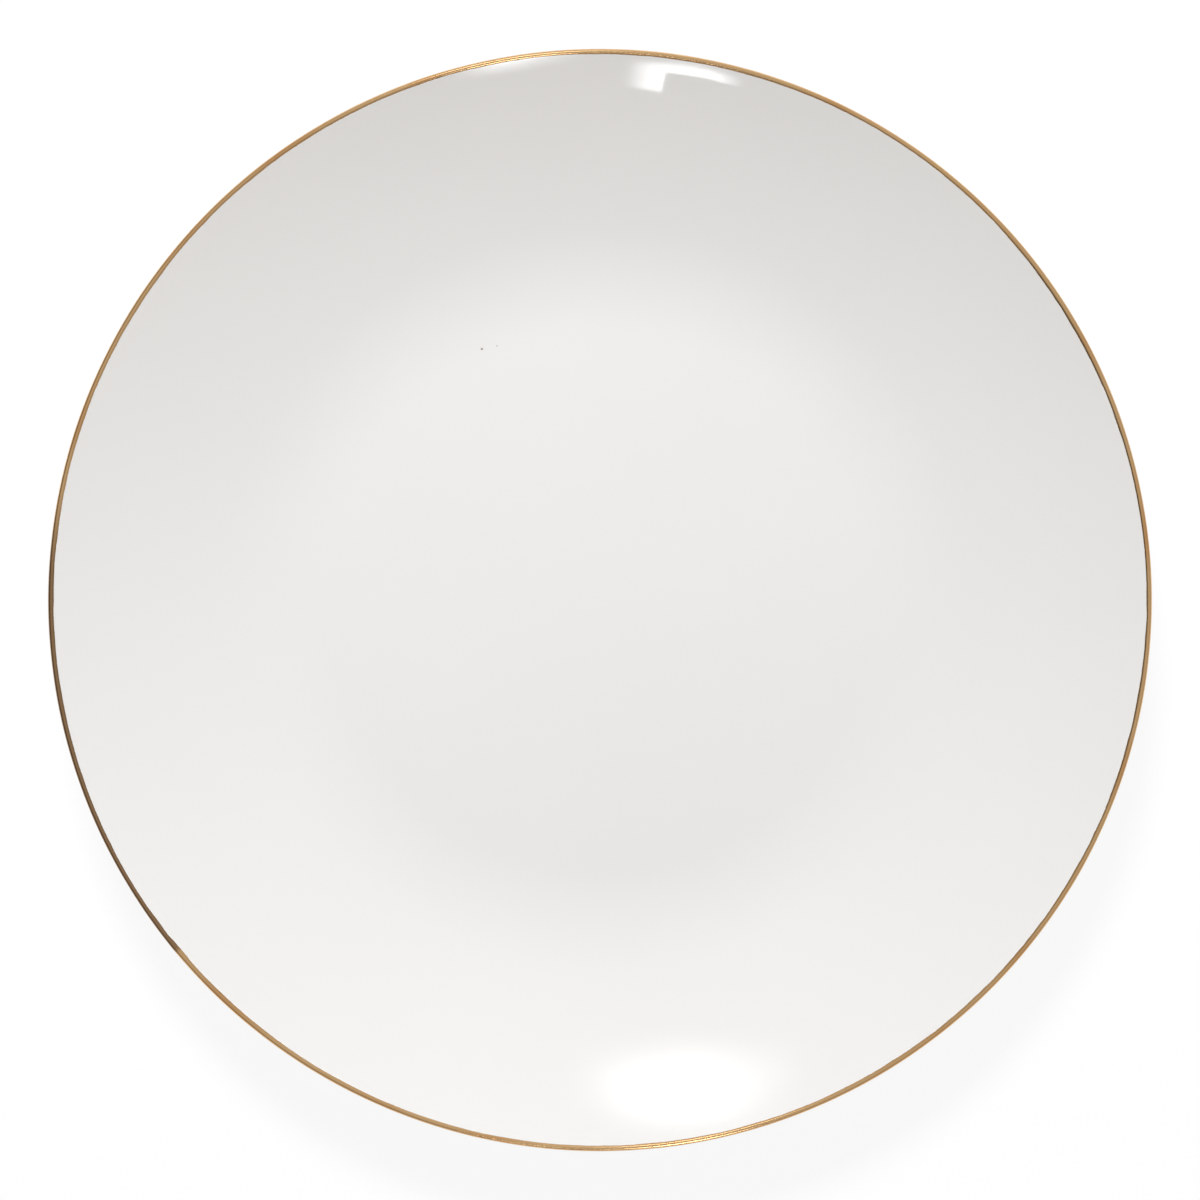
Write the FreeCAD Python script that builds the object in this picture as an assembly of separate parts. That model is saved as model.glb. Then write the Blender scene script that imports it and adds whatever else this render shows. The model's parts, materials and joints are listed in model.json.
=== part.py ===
"""Coupe dinner plate in white porcelain with a gilded edge, in millimetres.

The frame stands on the table: +Z is up, and the origin is the centre of the foot ring's bearing circle.
Every node is a full turn of one flat outline about Z. The fired body is one piece, foot ring included.
The glaze is two separate skins of glass, because the foot ring is wiped bare before the glost firing.
The gilding is a ring fired on over the glaze, round the lip.

A path round the body's section, from the middle of the face over the lip to the middle of the base, is
a chain of straight runs and tangent arcs. Every layer's skin is that same path, moved out by a growth.
"""

import math
import os

import FreeCAD
import Part

# Overall sizes, over the finished surface.
PLATE_DIAMETER = 270.0
PLATE_HEIGHT = 28.0

# Layers. The gold is far thinner in reality: this is the thinnest ring that meshes soundly.
GLAZE_THICKNESS = 0.3
GOLD_THICKNESS = 0.1

# The body's face: a flat well, a shoulder that turns up out of it, and a long open wall up to the lip.
WELL_RADIUS = 68.0
WELL_THICKNESS = 4.0
SHOULDER_RADIUS = 88.0
SHOULDER_ANGLE = 17.0
WALL_THICKNESS = 4.0
LIP_RADIUS = 0.4

# The foot ring, which narrows towards the table.
FOOT_RADIUS = 77.5
FOOT_LAND_WIDTH = 1.6
FOOT_CORNER_RADIUS = 0.9
FOOT_TAPER = 8.0
FOOT_OUTER_FILLET = 1.8
FOOT_INNER_FILLET = 1.5
RECESS_HEIGHT = 3.2
BARE_HEIGHT = 1.2

# The gold covers this much of the face below the lip, goes over the lip, and ends here on the back: an
# angle about the lip's centre from level, outwards.
GOLD_ON_FACE = 0.35
GOLD_BACK_ANGLE = -52.0

WELL_HEIGHT = RECESS_HEIGHT + WELL_THICKNESS
LIP_CENTRE = (
    PLATE_DIAMETER / 2 - GOLD_THICKNESS - GLAZE_THICKNESS - LIP_RADIUS,
    PLATE_HEIGHT - GLAZE_THICKNESS - LIP_RADIUS,
)
SHOULDER_CENTRE = (WELL_RADIUS, WELL_HEIGHT + SHOULDER_RADIUS)
BACK_SHOULDER_RADIUS = SHOULDER_RADIUS + WALL_THICKNESS

Z_AXIS = FreeCAD.Vector(0, 0, 1)
ORIGIN = FreeCAD.Vector(0, 0, 0)


def unit(degrees):
    """The unit vector at this angle from +R, turning towards +Z."""
    return math.cos(math.radians(degrees)), math.sin(math.radians(degrees))


def moved(point, direction, distance):
    """point moved by distance along direction."""
    return point[0] + direction[0] * distance, point[1] + direction[1] * distance


def distance(a, b):
    return math.hypot(b[0] - a[0], b[1] - a[1])


def slope_from(centre, point):
    """The slope, in degrees, that an arc about centre has at point, below that centre."""
    return math.degrees(math.asin((point[0] - centre[0]) / distance(centre, point)))


def arc_onto_lip(start, slope, lip_side):
    """The arc that leaves start at this slope, curving up, and touches the lip's circle.

    lip_side is 1 where the lip lies outside the arc's circle, as on the face, and -1 where it lies
    inside, as on the back. Returns the arc's radius and its slope at the lip.
    """
    upward = unit(90 + slope)
    to_lip = (start[0] - LIP_CENTRE[0], start[1] - LIP_CENTRE[1])
    along = upward[0] * to_lip[0] + upward[1] * to_lip[1]
    spare = LIP_RADIUS**2 - to_lip[0] ** 2 - to_lip[1] ** 2
    radius = spare / (2 * (along - lip_side * LIP_RADIUS))
    return radius, slope_from(moved(start, upward, radius), LIP_CENTRE)


def face_wall():
    """The wall on the face: its arc's radius, and its slope at the lip."""
    start = moved(SHOULDER_CENTRE, unit(-90 + SHOULDER_ANGLE), SHOULDER_RADIUS)
    return arc_onto_lip(start, SHOULDER_ANGLE, 1)


def back_wall():
    """The wall on the back: its arc's radius, and its slope at the lip."""
    start = moved(SHOULDER_CENTRE, unit(-90 + SHOULDER_ANGLE), BACK_SHOULDER_RADIUS)
    return arc_onto_lip(start, SHOULDER_ANGLE, -1)


def foot_outer_side():
    """The slope where the back runs into the foot's outer fillet, and the side's straight length."""
    outward = unit(-FOOT_TAPER)
    up_side = unit(90 - FOOT_TAPER)
    corner = (FOOT_RADIUS + FOOT_LAND_WIDTH / 2, FOOT_CORNER_RADIUS)
    base = moved(corner, outward, FOOT_CORNER_RADIUS + FOOT_OUTER_FILLET)
    reach = BACK_SHOULDER_RADIUS + FOOT_OUTER_FILLET
    offset = (base[0] - SHOULDER_CENTRE[0], base[1] - SHOULDER_CENTRE[1])
    half_b = offset[0] * up_side[0] + offset[1] * up_side[1]
    spare = offset[0] ** 2 + offset[1] ** 2 - reach**2
    length = -half_b - math.sqrt(half_b**2 - spare)
    return slope_from(SHOULDER_CENTRE, moved(base, up_side, length)), length


def foot_inner_side():
    """The straight length of the foot's inner side, and the run from its fillet in to the axis."""
    inward = unit(180 + FOOT_TAPER)
    up_side = unit(90 + FOOT_TAPER)
    corner = (FOOT_RADIUS - FOOT_LAND_WIDTH / 2, FOOT_CORNER_RADIUS)
    base = moved(corner, inward, FOOT_CORNER_RADIUS + FOOT_INNER_FILLET)
    length = (RECESS_HEIGHT - FOOT_INNER_FILLET - base[1]) / up_side[1]
    return length, moved(base, up_side, length)[0]


def sections():
    """The three stretches of the path, each a list of steps: ("run", length) or ("turn", radius, degrees).

    A turn to the left has positive degrees, and the body is on the path's right all the way.
    """
    face_radius, face_slope = face_wall()
    back_radius, back_slope = back_wall()
    foot_slope, outer_side = foot_outer_side()
    inner_side, base_run = foot_inner_side()
    corner_turn = 90 - FOOT_TAPER
    corner_top = FOOT_CORNER_RADIUS * (1 - math.sin(math.radians(FOOT_TAPER)))
    bare_side = (BARE_HEIGHT - corner_top) / math.cos(math.radians(FOOT_TAPER))
    outer_skin = [
        ("run", WELL_RADIUS),
        ("turn", SHOULDER_RADIUS, SHOULDER_ANGLE),
        ("turn", face_radius, face_slope - SHOULDER_ANGLE),
        ("turn", LIP_RADIUS, -(180 + face_slope - back_slope)),
        ("turn", back_radius, -(back_slope - SHOULDER_ANGLE)),
        ("turn", BACK_SHOULDER_RADIUS, -(SHOULDER_ANGLE - foot_slope)),
        ("turn", FOOT_OUTER_FILLET, corner_turn - foot_slope),
        ("run", outer_side - bare_side),
    ]
    bare_foot = [
        ("run", bare_side),
        ("turn", FOOT_CORNER_RADIUS, -corner_turn),
        ("run", FOOT_LAND_WIDTH),
        ("turn", FOOT_CORNER_RADIUS, -corner_turn),
        ("run", bare_side),
    ]
    base_skin = [
        ("run", inner_side - bare_side),
        ("turn", FOOT_INNER_FILLET, corner_turn),
        ("run", base_run),
    ]
    return outer_skin, bare_foot, base_skin


def vector(point):
    """A section point as a vector in the XZ plane."""
    return FreeCAD.Vector(point[0], 0, point[1])


class Path:
    """A chain of runs and tangent arcs in the section plane, moved out to its left by growth."""

    def __init__(self, start, heading, growth=0.0):
        self.growth = growth
        self.heading = heading
        self.at = moved(start, unit(heading + 90), growth)
        self.points = [self.at]
        self.edges = []

    def follow(self, steps):
        for step in steps:
            if step[0] == "run":
                self.run(step[1])
            else:
                self.turn(step[1], step[2])
        return self

    def run(self, length):
        end = moved(self.at, unit(self.heading), length)
        self.edges.append(Part.makeLine(vector(self.at), vector(end)))
        self.arrive(end)

    def turn(self, radius, degrees):
        side = math.copysign(90, degrees)
        size = radius - math.copysign(self.growth, degrees)
        centre = moved(self.at, unit(self.heading + side), size)
        middle = moved(centre, unit(self.heading - side + degrees / 2), size)
        end = moved(centre, unit(self.heading - side + degrees), size)
        self.edges.append(Part.Arc(vector(self.at), vector(middle), vector(end)).toShape())
        self.heading += degrees
        self.arrive(end)

    def arrive(self, end):
        self.at = end
        self.points.append(end)


def revolved(edges):
    """The solid that a closed section sweeps in a full turn about Z."""
    wire = Part.Wire(Part.__sortEdges__(edges))
    swept = Part.Face(wire).revolve(ORIGIN, Z_AXIS, 360)
    return swept if swept.Volume > 0 else swept.reversed()


def closing(start, end):
    """The straight edge that joins two ends of a section."""
    return Part.makeLine(vector(start), vector(end))


def skin(start, heading, steps, thickness, under=0.0):
    """A layer of this thickness over a stretch of the body's path, on top of what lies under it."""
    inside = Path(start, heading, under).follow(steps)
    outside = Path(start, heading, under + thickness).follow(steps)
    first_end = closing(inside.points[0], outside.points[0])
    last_end = closing(inside.points[-1], outside.points[-1])
    return revolved(inside.edges + outside.edges + [first_end, last_end])


def porcelain_body(outer_skin, bare_foot, base_skin):
    """The fired clay: dish, lip and foot ring in one piece."""
    path = Path((0, WELL_HEIGHT), 0).follow(outer_skin + bare_foot + base_skin)
    return revolved(path.edges + [closing(path.points[-1], path.points[0])])


def outer_glaze(outer_skin):
    """The glaze over the face, round the lip and down the back to the foot ring's bare edge."""
    return skin((0, WELL_HEIGHT), 0, outer_skin, GLAZE_THICKNESS)


def base_glaze(outer_skin, bare_foot, base_skin):
    """The glaze inside the foot ring, over the base."""
    to_here = Path((0, WELL_HEIGHT), 0).follow(outer_skin + bare_foot)
    return skin(to_here.at, to_here.heading, base_skin, GLAZE_THICKNESS)


def gold_rim_band():
    """The gilding: a thin ring over the glaze, from the face round the lip to the back."""
    radius, slope = face_wall()
    on_face = math.degrees(GOLD_ON_FACE / radius)
    wall_centre = moved(LIP_CENTRE, unit(90 + slope), LIP_RADIUS + radius)
    start = moved(wall_centre, unit(slope - on_face - 90), radius)
    steps = [("turn", radius, on_face), ("turn", LIP_RADIUS, GOLD_BACK_ANGLE - 90 - slope)]
    return skin(start, slope - on_face, steps, GOLD_THICKNESS, under=GLAZE_THICKNESS)


def main():
    outer_skin, bare_foot, base_skin = sections()
    nodes = {
        "porcelain_body": porcelain_body(outer_skin, bare_foot, base_skin),
        "outer_glaze": outer_glaze(outer_skin),
        "base_glaze": base_glaze(outer_skin, bare_foot, base_skin),
        "gold_rim_band": gold_rim_band(),
    }
    os.makedirs("parts", exist_ok=True)
    for name, shape in nodes.items():
        box = shape.optimalBoundingBox(False)
        print(
            f"{name}: valid {shape.isValid()}, {len(shape.Solids)} solid, {len(shape.Faces)} faces,",
            f"{shape.Volume / 1000:.3f} cm3, diameter {box.XLength:.3f}, z {box.ZMin:.3f} to {box.ZMax:.3f}",
        )
        shape.exportStep(f"parts/{name}.step")


main()
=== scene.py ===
"""A coupe dinner plate in white porcelain with a gilded edge: its surfaces, materials, light and camera.

Every piece is the plate's own section turned about Z, moved out by the layers over it, with the small
unevenness of a fired and hand-gilded plate. Shapes are worked out in millimetres. Meshes, lights and the
camera are in metres.
"""

import json
import math

import bmesh
import bpy
import numpy as np
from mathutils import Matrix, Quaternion, Vector


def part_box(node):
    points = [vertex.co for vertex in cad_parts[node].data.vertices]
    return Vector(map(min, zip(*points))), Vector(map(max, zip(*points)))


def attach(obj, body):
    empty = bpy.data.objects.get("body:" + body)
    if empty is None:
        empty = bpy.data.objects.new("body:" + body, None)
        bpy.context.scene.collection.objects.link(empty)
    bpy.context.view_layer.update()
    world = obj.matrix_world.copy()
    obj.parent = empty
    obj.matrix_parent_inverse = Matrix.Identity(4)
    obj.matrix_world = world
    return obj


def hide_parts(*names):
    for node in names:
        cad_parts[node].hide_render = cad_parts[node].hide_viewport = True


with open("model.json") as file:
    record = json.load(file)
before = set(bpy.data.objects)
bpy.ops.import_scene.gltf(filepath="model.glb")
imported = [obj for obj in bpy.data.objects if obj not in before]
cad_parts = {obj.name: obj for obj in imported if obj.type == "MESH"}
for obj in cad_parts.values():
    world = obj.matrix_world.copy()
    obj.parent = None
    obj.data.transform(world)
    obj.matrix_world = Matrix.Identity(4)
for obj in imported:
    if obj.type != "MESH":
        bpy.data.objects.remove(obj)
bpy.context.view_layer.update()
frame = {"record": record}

MM = 0.001
MOUNTS = {mount["name"]: mount["pos_m"] for mount in frame["record"]["mounts"]}

# ---- Sizes in millimetres. The frame gives the outline, and the section's own radii are the drawing's.

GOLD_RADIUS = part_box("gold_rim_band")[1].x / MM
GLAZE_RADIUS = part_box("outer_glaze")[1].x / MM
LIP_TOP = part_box("outer_glaze")[1].z / MM
BODY_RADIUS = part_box("porcelain_body")[1].x / MM
RECESS_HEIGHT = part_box("base_glaze")[1].z / MM
FOOT_RADIUS = MOUNTS["foot_rest"][0] / MM
GLAZE = GLAZE_RADIUS - BODY_RADIUS
WELL_HEIGHT = MOUNTS["well_floor"][2] / MM - GLAZE

WELL_RADIUS = 68.0
SHOULDER_RADIUS = 88.0
SHOULDER_ANGLE = 17.0
WALL = 4.0
LIP_RADIUS = 0.4
FOOT_LAND_WIDTH = 1.6
FOOT_CORNER_RADIUS = 0.9
FOOT_TAPER = 8.0
FOOT_OUTER_FILLET = 1.8
FOOT_INNER_FILLET = 1.5
BARE_HEIGHT = 1.2
GOLD_BACK_ANGLE = -52.0

LIP_CENTRE = np.array((BODY_RADIUS - LIP_RADIUS, LIP_TOP - GLAZE - LIP_RADIUS))
SHOULDER_CENTRE = np.array((WELL_RADIUS, WELL_HEIGHT + SHOULDER_RADIUS))

# The gilding as brushed on: thinner than the frame's ring, and sunk a hair into the glaze.
GILDING = 0.06
GILDING_EDGE = 0.01
GILDING_SUNK = 0.02
GOLD_ON_FACE = 0.35

# Where the brush stroke meets its start, and how far round the edge the two lie over each other.
LAP_AZIMUTH = 219.7
LAP_HALF_LENGTH = 4.0
LAP_FADE = 1.5
LAP_THICKNESS = 0.015

# Columns round the plate, and rows from edge to edge of the gold. Where a length is a whole number of
# pitches, rounding may leave it this much over, and that adds no row.
SEGMENTS = 384
GOLD_SEGMENTS = 3 * SEGMENTS
GOLD_ROWS = 22
ROW_TOLERANCE = 1e-6


def unit(degrees):
    """The unit vector at this angle from the radius, turning towards +Z."""
    return np.array((math.cos(math.radians(degrees)), math.sin(math.radians(degrees))))


def smooth(share):
    """0 below 0, 1 above 1, and a smooth step between."""
    share = np.clip(share, 0, 1)
    return share * share * (3 - 2 * share)


# ---- The section.


class Outline:
    """Points along a chain of runs and tangent arcs, each with the unit normal on its left."""

    def __init__(self, at, heading):
        self.at = np.array(at, float)
        self.heading = heading
        self.points = [self.at]
        self.normals = [unit(heading + 90)]

    def run(self, length, pitch):
        count = math.ceil(length / pitch - ROW_TOLERANCE)
        start = self.at
        for k in range(1, count + 1):
            self.add(start + unit(self.heading) * length * k / count, self.heading)
        return self

    def turn(self, radius, degrees, pitch=1.2, step=9.0):
        """An arc whose points are no further apart than pitch, and turn no more than step degrees."""
        size = abs(degrees)
        count = math.ceil(max(size / step, radius * math.radians(size) / pitch) - ROW_TOLERANCE)
        side = math.copysign(90, degrees)
        centre = self.at + unit(self.heading + side) * radius
        start = self.heading
        for k in range(1, count + 1):
            heading = start + degrees * k / count
            self.add(centre - unit(heading + side) * radius, heading)
        return self

    def add(self, point, heading):
        self.at, self.heading = point, heading
        self.points.append(point)
        self.normals.append(unit(heading + 90))

    def arrays(self):
        return np.array(self.points), np.array(self.normals)


def arc_onto_lip(start, lip_side):
    """The arc that leaves start at the shoulder's slope and touches the lip: its radius and slope there."""
    upward = unit(90 + SHOULDER_ANGLE)
    to_lip = start - LIP_CENTRE
    radius = (LIP_RADIUS**2 - to_lip @ to_lip) / (2 * (upward @ to_lip - lip_side * LIP_RADIUS))
    centre = start + upward * radius
    towards = (LIP_CENTRE - centre) / np.linalg.norm(LIP_CENTRE - centre)
    return radius, math.degrees(math.asin(towards[0]))


def foot_outer_side():
    """The slope where the back meets the foot's outer fillet, and the length of the side below it."""
    corner = np.array((FOOT_RADIUS + FOOT_LAND_WIDTH / 2, FOOT_CORNER_RADIUS))
    base = corner + unit(-FOOT_TAPER) * (FOOT_CORNER_RADIUS + FOOT_OUTER_FILLET)
    up_side = unit(90 - FOOT_TAPER)
    offset = base - SHOULDER_CENTRE
    reach = SHOULDER_RADIUS + WALL + FOOT_OUTER_FILLET
    half_b = offset @ up_side
    length = -half_b - math.sqrt(half_b**2 - offset @ offset + reach**2)
    fillet_centre = base + up_side * length
    return math.degrees(math.asin((fillet_centre - SHOULDER_CENTRE)[0] / reach)), length


def foot_inner_side():
    """The length of the foot's inner side, and the radius where the base begins."""
    corner = np.array((FOOT_RADIUS - FOOT_LAND_WIDTH / 2, FOOT_CORNER_RADIUS))
    base = corner + unit(180 + FOOT_TAPER) * (FOOT_CORNER_RADIUS + FOOT_INNER_FILLET)
    up_side = unit(90 + FOOT_TAPER)
    length = (RECESS_HEIGHT - FOOT_INNER_FILLET - base[1]) / up_side[1]
    return length, (base + up_side * length)[0]


# Next to a tight curve the points of a wide arc close up over this length, so that shading doesn't smear
# the curve into the arc.
CLOSE_UP = 0.6

CORNER_TURN = 90 - FOOT_TAPER
CORNER_TOP = FOOT_CORNER_RADIUS * (1 - math.sin(math.radians(FOOT_TAPER)))
BARE_SIDE = (BARE_HEIGHT - CORNER_TOP) / math.cos(math.radians(FOOT_TAPER))


def face_wall():
    """The wall on the face: its arc's radius, and its slope at the lip."""
    return arc_onto_lip(SHOULDER_CENTRE + unit(-90 + SHOULDER_ANGLE) * SHOULDER_RADIUS, 1)


def back_wall():
    """The wall on the back: its arc's radius, and its slope at the lip."""
    return arc_onto_lip(SHOULDER_CENTRE + unit(-90 + SHOULDER_ANGLE) * (SHOULDER_RADIUS + WALL), -1)


def face_and_back():
    """From the middle of the face, over the lip and down the back to the glaze line on the foot."""
    wall_radius, face_slope = face_wall()
    back_radius, back_slope = back_wall()
    foot_slope, outer_side = foot_outer_side()
    shoulder_radius = SHOULDER_RADIUS + WALL
    near_face_lip = math.degrees(CLOSE_UP / wall_radius)
    near_back_lip = math.degrees(CLOSE_UP / back_radius)
    near_foot = math.degrees(CLOSE_UP / shoulder_radius)
    outline = Outline((0, WELL_HEIGHT), 0).run(WELL_RADIUS, pitch=3.0)
    outline.turn(SHOULDER_RADIUS, SHOULDER_ANGLE, pitch=1.8)
    outline.turn(wall_radius, face_slope - SHOULDER_ANGLE - near_face_lip, pitch=1.8)
    outline.turn(wall_radius, near_face_lip, pitch=0.12)
    outline.turn(LIP_RADIUS, -(180 + face_slope - back_slope), step=7.0)
    outline.turn(back_radius, -near_back_lip, pitch=0.2)
    outline.turn(back_radius, near_back_lip - (back_slope - SHOULDER_ANGLE), pitch=2.4)
    outline.turn(shoulder_radius, near_foot - (SHOULDER_ANGLE - foot_slope), pitch=2.4)
    outline.turn(shoulder_radius, -near_foot, pitch=0.3)
    outline.turn(FOOT_OUTER_FILLET, CORNER_TURN - foot_slope)
    return outline.run(outer_side - BARE_SIDE, pitch=0.1)


def bare_foot(outline):
    """The foot ring's bearing edge, from one glaze line to the other."""
    outline.run(BARE_SIDE, pitch=0.2).turn(FOOT_CORNER_RADIUS, -CORNER_TURN)
    outline.run(FOOT_LAND_WIDTH, pitch=0.2)
    return outline.turn(FOOT_CORNER_RADIUS, -CORNER_TURN).run(BARE_SIDE, pitch=0.2)


def recess(outline):
    """From the inner glaze line up the foot's inner side, and in to the axis."""
    inner_side, base_radius = foot_inner_side()
    outline.run(inner_side - BARE_SIDE, pitch=0.1).turn(FOOT_INNER_FILLET, CORNER_TURN)
    return outline.run(base_radius, pitch=3.0)


# ---- Unevenness.


class Field:
    """A smooth random height in space. Its bumps are about 1 high and a wavelength apart."""

    def __init__(self, seed, wavelength, waves=24):
        chance = np.random.default_rng(seed)
        along = chance.normal(size=(waves, 3))
        along /= np.linalg.norm(along, axis=1)[:, None]
        lengths = wavelength * chance.uniform(0.75, 1.5, waves)
        self.turns = along * (2 * math.pi / lengths)[:, None]
        self.phases = chance.uniform(0, 2 * math.pi, waves)

    def at(self, radius, height, angle):
        places = np.broadcast_arrays(radius * np.cos(angle), radius * np.sin(angle), height)
        waves = np.cos(np.stack(places, -1) @ self.turns.T + self.phases)
        return waves.sum(-1) * math.sqrt(2 / len(self.phases)) / 2


GLAZE_POOLING = Field(seed=3, wavelength=26)
GLAZE_LINE = Field(seed=5, wavelength=12)
HAND_SWAY = Field(seed=7, wavelength=60)
BRUSH_STEPS = Field(seed=8, wavelength=9)
BRUSH_HAIRS = Field(seed=9, wavelength=2.6)

# The warp at the rim, in millimetres: an even sag, a sag in two and in three waves, and an oval rim.
EVEN_SAG = 0.1
SAG_IN_TWO = 0.12
SAG_IN_THREE = 0.06
OVAL = 0.08

# The glaze: how its thickness varies, as a share, and its end at a glaze line, in millimetres from it. It
# rounds off to nothing over the nose, behind a bead, and the line wanders to each side.
POOLING = 0.06
NOSE_LENGTH = 0.35
BEAD_SHARE = 0.25
BEAD_FROM_LINE = 0.6
BEAD_WIDTH = 0.4
LINE_WANDER = 0.12
WANDER_REACH = 0.8

# How far the gold's edges stray, in millimetres: on the face, and on the back.
FACE_SWAY, FACE_STEPS, FACE_HAIRS, FACE_LAP = 0.09, 0.05, 0.035, 0.16
BACK_STEPS, BACK_HAIRS, BACK_LAP = 0.25, 0.04, 0.2

# The gold rises to its full thickness this far from its edges. Its rows crowd towards them by this share.
GOLD_BEVEL = 0.4
ROW_CROWDING = 0.4


def warped(radius, height, angle):
    """Where a point of the true plate lies after firing: the wall sags in two and three faint waves."""
    share = np.clip((radius - FOOT_RADIUS) / (GLAZE_RADIUS - FOOT_RADIUS), 0, None) ** 2
    sag = SAG_IN_TWO * np.cos(2 * angle - 0.9) + SAG_IN_THREE * np.cos(3 * angle + 0.4) - EVEN_SAG
    oval = OVAL * np.cos(2 * angle + 0.5)
    return radius + oval * share, height + sag * share


def glaze_thickness(radius, height, angle):
    """Glaze over a point of the body. Dipping never leaves it quite even."""
    return GLAZE * (1 + POOLING * GLAZE_POOLING.at(radius, height, angle))


# ---- Meshes.


def columns(count):
    return np.arange(count) * 2 * math.pi / count


def turned(name, radius, height, ring=False):
    """A mesh from grids of radius and height: a row for each section point, a column for each angle.

    A row of radius 0 is one vertex on the axis. In a ring, the last row joins the first.
    """
    count = radius.shape[1]
    angle = columns(count)
    poles = radius.max(axis=1) < 1e-9
    radius, height = warped(radius, height, angle)
    vertices, index = [], []
    for r, z, pole in zip(radius, height, poles):
        first = len(vertices)
        if pole:
            vertices.append((0, 0, z.mean()))
            index.append(np.full(count, first))
        else:
            vertices.extend(zip(r * np.cos(angle), r * np.sin(angle), z))
            index.append(np.arange(first, first + count))
    faces = []
    for row in range(len(index) if ring else len(index) - 1):
        here, there = index[row], index[(row + 1) % len(index)]
        corners = np.stack([here, there, np.roll(there, -1), np.roll(here, -1)], -1)
        if here[0] == here[1]:
            corners = corners[:, :3]
        elif there[0] == there[1]:
            corners = corners[:, [0, 1, 3]]
        faces.extend(corners.tolist())
    mesh = bpy.data.meshes.new(name)
    mesh.from_pydata(np.array(vertices, float) * MM, [], faces)
    work = bmesh.new()
    work.from_mesh(mesh)
    bmesh.ops.recalc_face_normals(work, faces=work.faces)
    work.to_mesh(mesh)
    work.free()
    mesh.shade_smooth()
    piece = bpy.data.objects.new(name, mesh)
    bpy.context.scene.collection.objects.link(piece)
    return piece


def grid(points, normals, out=0.0):
    """Grids of radius and height of an outline, moved out along its normals."""
    radius = points[:, :1] + normals[:, :1] * out + np.zeros(SEGMENTS)
    height = points[:, 1:] + normals[:, 1:] * out + np.zeros(SEGMENTS)
    radius[points[:, 0] < 1e-6] = 0
    return radius, height


def fired_body():
    """The fired clay. It shows only on the foot ring's bearing edge."""
    points, normals = recess(bare_foot(face_and_back())).arrays()
    return turned("fired_body", *grid(points, normals))


def glaze_skin(name, points, normals):
    """A skin of glaze over an outline from the axis to a glaze line.

    The line wanders a little, and there the glaze swells into a bead and rounds off to nothing.
    """
    steps = np.linalg.norm(np.diff(points, axis=0), axis=1)
    to_line = np.r_[np.cumsum(steps[::-1])[::-1], 0][:, None]
    nose = np.sqrt(1 - (1 - np.clip(to_line / NOSE_LENGTH, 0, 1)) ** 2)
    bead = 1 + BEAD_SHARE * np.exp(-(((to_line - BEAD_FROM_LINE) / BEAD_WIDTH) ** 2))
    radius, height = grid(points, normals)
    thickness = glaze_thickness(radius, height, columns(SEGMENTS)) * nose * bead
    outer_radius, outer_height = grid(points, normals, thickness)
    wander = LINE_WANDER * GLAZE_LINE.at(FOOT_RADIUS, points[-1, 1], columns(SEGMENTS))
    along = wander * smooth(1 - to_line / WANDER_REACH)
    for radii, heights in ((radius, height), (outer_radius, outer_height)):
        radii += along * normals[:, 1:]
        heights -= along * normals[:, :1]
    # The side against the clay needs half the rows.
    inner_rows = [*range(len(points) - 2, 0, -2), 0]
    radius = np.concatenate([outer_radius, radius[inner_rows]])
    return turned(name, radius, np.concatenate([outer_height, height[inner_rows]]))


def glazed_face_and_back():
    return glaze_skin("glazed_face_and_back", *face_and_back().arrays())


def glazed_base():
    start = bare_foot(face_and_back())
    points, normals = recess(Outline(start.at, start.heading)).arrays()
    return glaze_skin("glazed_base", points[::-1], normals[::-1])


def gilded_edge():
    """The gold line as a brush leaves it: uneven edges, and a lap where the stroke meets its start."""
    angle = columns(GOLD_SEGMENTS)
    sway = FACE_SWAY * HAND_SWAY.at(GOLD_RADIUS, LIP_TOP, angle)
    sway += FACE_STEPS * BRUSH_STEPS.at(GOLD_RADIUS, LIP_TOP, angle)
    sway += FACE_HAIRS * BRUSH_HAIRS.at(GOLD_RADIUS, LIP_TOP, angle)
    back_sway = BACK_STEPS * BRUSH_STEPS.at(GOLD_RADIUS, 0, angle)
    back_sway += BACK_HAIRS * BRUSH_HAIRS.at(GOLD_RADIUS, 0, angle)
    from_lap = (angle - math.radians(LAP_AZIMUTH) + math.pi) % (2 * math.pi) - math.pi
    lap = smooth((LAP_HALF_LENGTH - np.abs(from_lap) * GOLD_RADIUS) / LAP_FADE)
    reach = LIP_RADIUS + GLAZE
    lip_start = math.radians(90 + face_wall()[1])
    face_edge = lip_start + (GOLD_ON_FACE + sway + FACE_LAP * lap) / reach
    back_edge = math.radians(GOLD_BACK_ANGLE) - (back_sway + BACK_LAP * lap) / reach
    even = np.linspace(0, 1, GOLD_ROWS)[:, None]
    share = even + (smooth(even) - even) * ROW_CROWDING
    around = face_edge + (back_edge - face_edge) * share
    from_edge = np.minimum(face_edge - around, around - back_edge) * reach
    full = GILDING + LAP_THICKNESS * lap
    thickness = GILDING_EDGE + (full - GILDING_EDGE) * smooth(from_edge / GOLD_BEVEL)
    down_face = np.clip(around - lip_start, 0, None) * reach
    around = np.minimum(around, lip_start)
    under = glaze_thickness(
        LIP_CENTRE[0] + LIP_RADIUS * np.cos(around), LIP_CENTRE[1] + LIP_RADIUS * np.sin(around), angle
    )
    out = np.concatenate([LIP_RADIUS + under + thickness, (LIP_RADIUS + under - GILDING_SUNK)[::-1]])
    around = np.concatenate([around, around[::-1]])
    down_face = np.concatenate([down_face, down_face[::-1]])
    radius = LIP_CENTRE[0] + out * np.cos(around) - down_face * math.sin(lip_start)
    height = LIP_CENTRE[1] + out * np.sin(around) + down_face * math.cos(lip_start)
    return turned("gilded_edge", radius, height, ring=True)


# ---- Materials.


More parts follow.
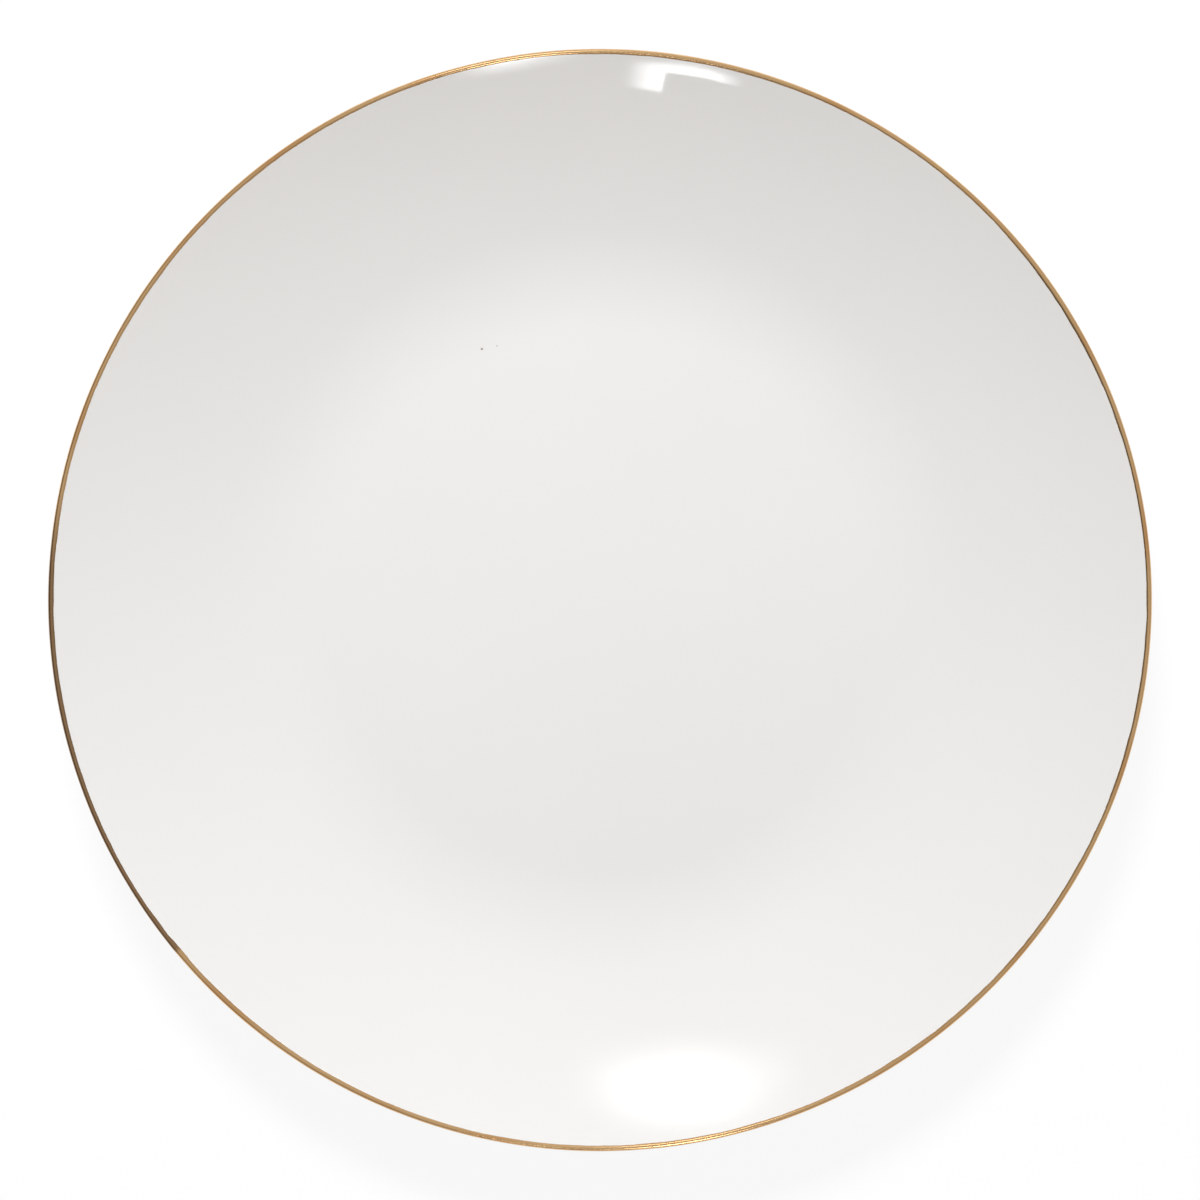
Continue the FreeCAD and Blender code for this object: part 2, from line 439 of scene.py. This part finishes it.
class Graph:
    """Adds nodes to the tree of a material, light or world."""

    def __init__(self, owner):
        owner.use_nodes = True
        self.tree = owner.node_tree
        self.tree.nodes.clear()

    def node(self, kind, inputs=None, **settings):
        node = self.tree.nodes.new(kind)
        for key, value in settings.items():
            setattr(node, key, value)
        for key, value in (inputs or {}).items():
            if isinstance(value, bpy.types.NodeSocket):
                self.tree.links.new(value, node.inputs[key])
            else:
                node.inputs[key].default_value = value
        return node

    def math(self, operation, *values, clamp=False):
        node = self.node("ShaderNodeMath", dict(enumerate(values)), operation=operation, use_clamp=clamp)
        return node.outputs[0]

    def total(self, *values):
        result = values[0]
        for value in values[1:]:
            result = self.math("ADD", result, value)
        return result

    def step(self, value, low, high):
        """0 where value is at low, 1 where it is at high, and smooth between. low may exceed high."""
        inputs = {"Value": value, "From Min": low, "From Max": high}
        return self.node("ShaderNodeMapRange", inputs, interpolation_type="SMOOTHSTEP").outputs[0]

    def blend(self, share, first, second):
        node = self.node("ShaderNodeMix", {0: share, 6: first, 7: second}, data_type="RGBA")
        return node.outputs[2]

    def millimetres(self):
        """The piece's own coordinates in millimetres."""
        place = self.node("ShaderNodeTexCoord").outputs["Object"]
        return self.node("ShaderNodeVectorMath", {0: place, "Scale": 1 / MM}, operation="SCALE").outputs[0]

    def noise(self, place, wavelength, detail=2.0, roughness=0.5):
        """Noise from 0 to 1 whose bumps are about a wavelength apart."""
        inputs = {"Vector": place, "Scale": 1 / wavelength, "Detail": detail, "Roughness": roughness}
        return self.node("ShaderNodeTexNoise", inputs).outputs[0]

    def axes(self, vector):
        return self.node("ShaderNodeSeparateXYZ", {0: vector}).outputs

    def radius(self, place):
        """The distance from the plate's axis."""
        x, y, _ = self.axes(place)
        flat = self.node("ShaderNodeCombineXYZ", {0: x, 1: y}).outputs[0]
        return self.node("ShaderNodeVectorMath", {0: flat}, operation="LENGTH").outputs["Value"]

    def rings(self, radius, wavelength, detail=2.0):
        """Noise from 0 to 1 that is the same all round the plate."""
        return self.noise(self.node("ShaderNodeCombineXYZ", {0: radius}).outputs[0], wavelength, detail)

    def specks(self, place, spacing, radius):
        """1 inside rare round specks of up to this radius, in cells of this spacing."""
        cell = self.node("ShaderNodeTexVoronoi", {"Vector": place, "Scale": 1 / spacing}).outputs
        chance = self.node("ShaderNodeSeparateColor", {0: cell["Color"]}).outputs[0]
        size = self.math("MULTIPLY", chance, radius)
        away = self.math("MULTIPLY", cell["Distance"], spacing)
        return self.step(away, size, self.math("MULTIPLY", size, 0.5))

    def spot(self, place, centre, radius):
        """1 inside one round spot."""
        away = self.node("ShaderNodeVectorMath", {0: place, 1: centre}, operation="DISTANCE")
        return self.step(away.outputs["Value"], radius, radius * 0.4)

    def bump(self, height):
        """A normal from a height in millimetres."""
        return self.node("ShaderNodeBump", {"Height": height, "Distance": MM, "Strength": 1.0}).outputs[0]

    def surface(self, **inputs):
        """Ends a material in one Principled shader."""
        named = {key.replace("_", " "): value for key, value in inputs.items()}
        shader = self.node("ShaderNodeBsdfPrincipled", named)
        self.node("ShaderNodeOutputMaterial", {"Surface": shader.outputs[0]})


# Iron specks in the face of the well: where they lie, and their radius.
IRON_SPECKS = (((-29.6, 62.9), 0.42), ((-25.8, 63.7), 0.2))

# The glaze: its two tints, its iron, and the heights in millimetres that its shine shows.
WARM_GLAZE = (0.778, 0.768, 0.760, 1)
COOL_GLAZE = (0.756, 0.749, 0.745, 1)
IRON = (0.20, 0.13, 0.08, 1)
ORANGE_PEEL = 0.0007
ROLLER_RINGS = 0.0016
RIPPLE = 0.0022
PINHOLE_DEPTH = 0.03

# The bare clay: its two tints, and the grey that tables rub into the bearing edge.
PALE_CLAY = (0.80, 0.77, 0.71, 1)
DARK_CLAY = (0.70, 0.67, 0.61, 1)
RUBBED_CLAY = (0.50, 0.46, 0.41, 1)
SANDING_DEPTH = 0.012
GRAIN_DEPTH = 0.02

# The gold: bright and deep between the brush's hairs, and redder in patches. Over the last degrees before
# the lap its colour is darker, a painted dark reflection, and it is rougher there.
BRIGHT_GOLD = (0.93, 0.63, 0.33, 1)
DEEP_GOLD = (0.82, 0.51, 0.25, 1)
RED_GOLD = (0.80, 0.45, 0.20, 1)
# Painted dark reflection: the gold's colour over the stretch before the lap.
PAINTED_DARK_REFLECTION_GOLD = (0.42, 0.26, 0.14, 1)
PAINTED_DARK_DEGREES = 52
PAINTED_DARK_FADE_DEGREES = 10
HAIR_WIDTH = 0.16
HAIR_LENGTH = 18.0
HAIR_DEPTH = 0.0003


def glaze_material():
    """Clear high-gloss glaze on warm white porcelain, with a few iron specks and pinholes."""
    material = bpy.data.materials.new("white_glaze")
    g = Graph(material)
    place = g.millimetres()
    radius = g.radius(place)
    iron = g.specks(place, 15, 0.22)
    for (x, y), size in IRON_SPECKS:
        iron = g.math("MAXIMUM", iron, g.spot(place, (x, y, WELL_HEIGHT + GLAZE), size))
    pinholes = g.specks(g.node("ShaderNodeVectorMath", {0: place, 1: (7, 3, 5)}).outputs[0], 12, 0.2)
    clean = g.blend(g.noise(place, 55), WARM_GLAZE, COOL_GLAZE)
    peel = g.math("MULTIPLY", g.noise(place, 2.2, detail=1.0), ORANGE_PEEL)
    rolled = g.math("MULTIPLY", g.rings(radius, 7.0), ROLLER_RINGS)
    ripple = g.math("MULTIPLY", g.noise(place, 9.0, detail=1.0), RIPPLE)
    pits = g.math("MULTIPLY", pinholes, -PINHOLE_DEPTH)
    handled = g.math("MULTIPLY", g.noise(place, 35, detail=3.0), 0.03)
    worn = g.math("MULTIPLY", g.step(g.noise(place, 4.0, detail=6.0, roughness=0.7), 0.60, 0.75), 0.05)
    g.surface(
        Base_Color=g.blend(g.math("MULTIPLY", iron, 0.75), clean, IRON),
        Roughness=g.total(handled, worn, 0.012),
        Normal=g.bump(g.total(peel, rolled, ripple, pits)),
        IOR=1.52,
    )
    return material


def bare_porcelain_material():
    """Vitrified clay with no glaze, sanded smooth in rings on its bearing edge."""
    material = bpy.data.materials.new("bare_porcelain")
    g = Graph(material)
    place = g.millimetres()
    marks = g.rings(g.radius(place), 0.18, detail=3.0)
    clay = g.blend(g.noise(place, 0.6, detail=4.0), PALE_CLAY, DARK_CLAY)
    rubbed = g.math("MULTIPLY", g.step(g.axes(place)[2], 0.12, 0.02), g.noise(place, 11, detail=4.0))
    grain = g.math("MULTIPLY", g.noise(place, 0.25, detail=3.0), GRAIN_DEPTH)
    g.surface(
        Base_Color=g.blend(g.math("MULTIPLY", rubbed, 0.5), clay, RUBBED_CLAY),
        Roughness=g.math("MULTIPLY_ADD", marks, -0.2, 0.78),
        Normal=g.bump(g.math("MULTIPLY_ADD", marks, SANDING_DEPTH, grain)),
    )
    return material


def gold_material():
    """Bright gold, brushed on round the lip. The last stretch before the lap is darker, a painted dark
    reflection, and rougher.
    """
    material = bpy.data.materials.new("rim_gold")
    g = Graph(material)
    place = g.millimetres()
    x, y, z = g.axes(place)
    from_lip = (g.math("SUBTRACT", z, LIP_CENTRE[1]), g.math("SUBTRACT", g.radius(place), LIP_CENTRE[0]))
    across = g.math("MULTIPLY", g.math("ARCTAN2", *from_lip), (LIP_RADIUS + GLAZE) / HAIR_WIDTH)
    along = (g.math("DIVIDE", x, HAIR_LENGTH), g.math("DIVIDE", y, HAIR_LENGTH))
    hairs = g.noise(g.node("ShaderNodeCombineXYZ", {0: along[0], 1: along[1], 2: across}).outputs[0], 1.0)
    opposite = (g.math("MULTIPLY", y, -1.0), g.math("MULTIPLY", x, -1.0))
    past_left = g.math("DEGREES", g.math("ARCTAN2", *opposite))
    lap = LAP_AZIMUTH - 180
    faded_in = g.step(past_left, lap - PAINTED_DARK_DEGREES, lap - PAINTED_DARK_DEGREES + PAINTED_DARK_FADE_DEGREES)
    # Painted dark reflection: darkens the gold's colour over the stretch before the lap, and roughens it
    # there.
    painted_dark_and_rough = g.math("MULTIPLY", faded_in, g.step(past_left, lap + 0.4, lap - 0.4))
    bright = g.blend(hairs, BRIGHT_GOLD, DEEP_GOLD)
    patchy = g.blend(g.step(g.noise(place, 26), 0.45, 0.75), bright, RED_GOLD)
    smooth_gold = g.math("MULTIPLY_ADD", hairs, 0.07, 0.10)
    g.surface(
        Base_Color=g.blend(painted_dark_and_rough, patchy, PAINTED_DARK_REFLECTION_GOLD),
        Metallic=1.0,
        Roughness=g.math("MULTIPLY_ADD", painted_dark_and_rough, 0.12, smooth_gold),
        Normal=g.bump(g.math("MULTIPLY", hairs, HAIR_DEPTH)),
    )
    return material


def dressed(piece, node, material):
    """Puts a finished piece in place of its CAD node."""
    piece.data.materials.append(material)
    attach(piece, "root")
    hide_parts(node)


glaze = glaze_material()
dressed(fired_body(), "porcelain_body", bare_porcelain_material())
dressed(glazed_face_and_back(), "outer_glaze", glaze)
dressed(glazed_base(), "base_glaze", glaze)
dressed(gilded_edge(), "gold_rim_band", gold_material())

# ---- The studio.

# Brightness of the walls round the plate, and of the card and the haze low down.
CEILING = 0.68
RIGHT_WALL = 0.46
BACK_WALL = 0.81
FRONT_CARD = 1.15
HORIZON = 0.14

# Bearings in degrees from the front: the card's two ends, and the far end of the curtain beside it.
CARD_LEFT = -50.0
CARD_RIGHT = 80.0
CARD_RIGHT_FADE = 50.0
CURTAIN_LEFT = -105.0
CURTAIN_FADE = 10.0
EDGE_FADE = 2.0

# Lamps, in metres and watts.
LIGHT_DISTANCE = 1.6
KEY_POWER = 34.0
SHEEN_POWER = 5.0
STRIP_POWER = 4.0
FILL_POWER = 0.95

# The floor: its tone, how even and bright it shows, and its glow under the plate. It lies a hair below the
# foot, in millimetres, so that the two never share a plane.
FLOOR_TONE = 0.45
FLOOR_EVENNESS = 0.75
FLOOR_GLOW = 1.18
FLOOR_BOUNCE = 0.4
FLOOR_DROP = 0.05

WHITE_LIGHT = (0.8, 0.785, 0.765, 1)
CREAM_LIGHT = (0.8, 0.73, 0.62, 1)
BACKDROP = (0.93, 0.93, 0.93, 1)


def direction(azimuth, tilt):
    """The unit vector at this azimuth from +X, and this tilt from straight up."""
    level = math.sin(math.radians(tilt))
    turn = math.radians(azimuth)
    return Vector((math.cos(turn) * level, math.sin(turn) * level, math.cos(math.radians(tilt))))


def soft_light(name, azimuth, tilt, size, power, edge, falloff=1.0, roll=0.0, card=None):
    """A softbox that faces the plate and fades out at its edges.

    edge is a share of its size (across, up), and a greater falloff fades it sooner. roll turns it about
    its own axis. A card hides part of it: (left, right, bottom, top), also as shares of its size.
    """
    lamp = bpy.data.lights.new(name, "AREA")
    lamp.shape = "RECTANGLE"
    lamp.size, lamp.size_y = size
    lamp.energy = power
    g = Graph(lamp)
    shares = g.node("ShaderNodeNewGeometry").outputs["Parametric"]
    axes = g.node("ShaderNodeSeparateXYZ", {0: shares}).outputs
    middle = [g.math("ABSOLUTE", g.math("SUBTRACT", axes[k], 0.5)) for k in (0, 1)]
    fades = [g.step(middle[k], 0.5, 0.5 - edge[k]) for k in (0, 1)]
    glow = g.math("POWER", g.math("MULTIPLY", *fades), falloff)
    if card:
        left, right, bottom, top = card
        sides = (g.step(axes[0], left, left + 0.02), g.step(axes[0], right, right - 0.02))
        ends = (g.step(axes[1], bottom, bottom + 0.05), g.step(axes[1], top, top - 0.05))
        across, up = g.math("MULTIPLY", *sides), g.math("MULTIPLY", *ends)
        glow = g.math("MULTIPLY", glow, g.math("SUBTRACT", 1.0, g.math("MULTIPLY", across, up)))
    emission = g.node("ShaderNodeEmission", {"Strength": glow})
    g.node("ShaderNodeOutputLight", {0: emission.outputs[0]})
    light = bpy.data.objects.new(name, lamp)
    towards = direction(azimuth, tilt)
    light.location = towards * LIGHT_DISTANCE
    facing = (-towards).to_track_quat("-Z", "Y") @ Quaternion((0, 0, 1), math.radians(roll))
    light.rotation_euler = facing.to_euler()
    light.visible_camera = False
    bpy.context.scene.collection.objects.link(light)
    return light


def studio_walls():
    """Even light from all round: a bright ceiling, and a dimmer wall on the right and at the back.

    Low down, a cream card stands in front, up to a dark curtain on its left.
    """
    world = bpy.data.worlds.new("studio")
    bpy.context.scene.world = world
    g = Graph(world)
    towards = g.node("ShaderNodeTexCoord").outputs["Generated"]
    x, y, z = g.node("ShaderNodeSeparateXYZ", {0: towards}).outputs

    def wall(axis, brightness):
        facing = g.math("MAXIMUM", axis, 0.0)
        return g.math("MULTIPLY", g.math("MULTIPLY", facing, facing), brightness)

    bearing = g.math("DEGREES", g.math("ARCTAN2", x, g.math("MULTIPLY", y, -1.0)))
    low = g.math("POWER", g.math("SUBTRACT", 1.0, g.math("ABSOLUTE", z)), 3.0)
    past_left_end = g.step(bearing, CARD_LEFT - EDGE_FADE, CARD_LEFT)
    before_left_end = g.step(bearing, CARD_LEFT, CARD_LEFT - EDGE_FADE)
    before_right_end = g.step(bearing, CARD_RIGHT, CARD_RIGHT - CARD_RIGHT_FADE)
    past_curtain_end = g.step(bearing, CURTAIN_LEFT, CURTAIN_LEFT + CURTAIN_FADE)
    in_front = g.math("MULTIPLY", past_left_end, before_right_end)
    at_curtain = g.math("MULTIPLY", past_curtain_end, before_left_end)
    card = g.math("MULTIPLY", g.math("MULTIPLY", low, in_front), FRONT_CARD)
    rest = g.math("MULTIPLY", low, g.math("SUBTRACT", 1.0, g.math("MAXIMUM", in_front, at_curtain)))
    horizon = g.math("MULTIPLY", rest, HORIZON)
    brightness = g.total(wall(z, CEILING), wall(x, RIGHT_WALL), wall(y, BACK_WALL), horizon)
    room = g.node("ShaderNodeBackground", {"Color": WHITE_LIGHT, "Strength": brightness})
    cream = g.node("ShaderNodeBackground", {"Color": CREAM_LIGHT, "Strength": card})
    light = g.node("ShaderNodeAddShader", {0: room.outputs[0], 1: cream.outputs[0]})
    backdrop = g.node("ShaderNodeBackground", {"Color": BACKDROP, "Strength": 1.0})
    seen = g.node("ShaderNodeLightPath").outputs["Is Camera Ray"]
    shown = g.node("ShaderNodeMixShader", {0: seen, 1: light.outputs[0], 2: backdrop.outputs[0]})
    g.node("ShaderNodeOutputWorld", {0: shown.outputs[0]})


def floor():
    """A pale sheet on a light table. It glows faintly, and shows brighter than it lights the plate."""
    work = bmesh.new()
    bmesh.ops.create_circle(work, cap_ends=True, radius=4.0, segments=96)
    mesh = bpy.data.meshes.new("floor")
    work.to_mesh(mesh)
    work.free()
    sheet = bpy.data.objects.new("floor", mesh)
    sheet.location.z = -FLOOR_DROP * MM
    bpy.context.scene.collection.objects.link(sheet)
    material = bpy.data.materials.new("pale_sheet")
    g = Graph(material)
    paper = g.node("ShaderNodeBsdfDiffuse", {"Color": (FLOOR_TONE, FLOOR_TONE, FLOOR_TONE, 1)})
    glow = g.node("ShaderNodeEmission", {"Strength": FLOOR_GLOW})
    evened = g.node("ShaderNodeMixShader", {0: FLOOR_EVENNESS, 1: paper.outputs[0], 2: glow.outputs[0]})
    camera = g.node("ShaderNodeLightPath").outputs["Is Camera Ray"]
    table = g.node("ShaderNodeEmission", {"Strength": FLOOR_BOUNCE})
    lit = g.node("ShaderNodeAddShader", {0: paper.outputs[0], 1: table.outputs[0]})
    sheet_top = g.node("ShaderNodeMixShader", {0: camera, 1: lit.outputs[0], 2: evened.outputs[0]})
    clear = g.node("ShaderNodeBsdfTransparent")
    below = g.node("ShaderNodeNewGeometry").outputs["Backfacing"]
    shown = g.node("ShaderNodeMixShader", {0: below, 1: sheet_top.outputs[0], 2: clear.outputs[0]})
    g.node("ShaderNodeOutputMaterial", {0: shown.outputs[0]})
    mesh.materials.append(material)


def overhead_camera():
    """Straight above the plate, far enough away for the rim to fill most of the frame."""
    lens, sensor = 100.0, 36.0
    rim_share_of_frame = 0.9196
    distance = 2 * GOLD_RADIUS * lens / (sensor * rim_share_of_frame)
    camera = bpy.data.objects.new("camera", bpy.data.cameras.new("camera"))
    camera.data.lens = lens
    camera.data.sensor_width = sensor
    camera.location = (0, 0, (LIP_CENTRE[1] + distance) * MM)
    bpy.context.scene.collection.objects.link(camera)
    bpy.context.scene.camera = camera


studio_walls()
floor()
key = soft_light("key_light", azimuth=99.8, tilt=38, size=(0.5, 0.4), power=KEY_POWER, edge=(0.2, 0.2))
key.visible_glossy = False
sheen = soft_light(
    "key_sheen",
    azimuth=99.3,
    tilt=36.15,
    size=(0.54, 0.37),
    power=SHEEN_POWER,
    edge=(0.5, 0.5),
    falloff=1.5,
    roll=-16,
)
sheen.visible_diffuse = False
strip = soft_light(
    "low_strip", azimuth=279, tilt=45.4, size=(0.3, 0.29), power=STRIP_POWER, edge=(0.5, 0.2)
)
strip.visible_diffuse = False
soft_light(
    "fill_light",
    azimuth=260.6,
    tilt=39.7,
    size=(0.25, 0.098),
    power=FILL_POWER,
    edge=(0.36, 0.2),
    card=(-0.1, 0.66, 0.30, 1.1),
)
overhead_camera()
bpy.context.scene.view_settings.view_transform = "Standard"
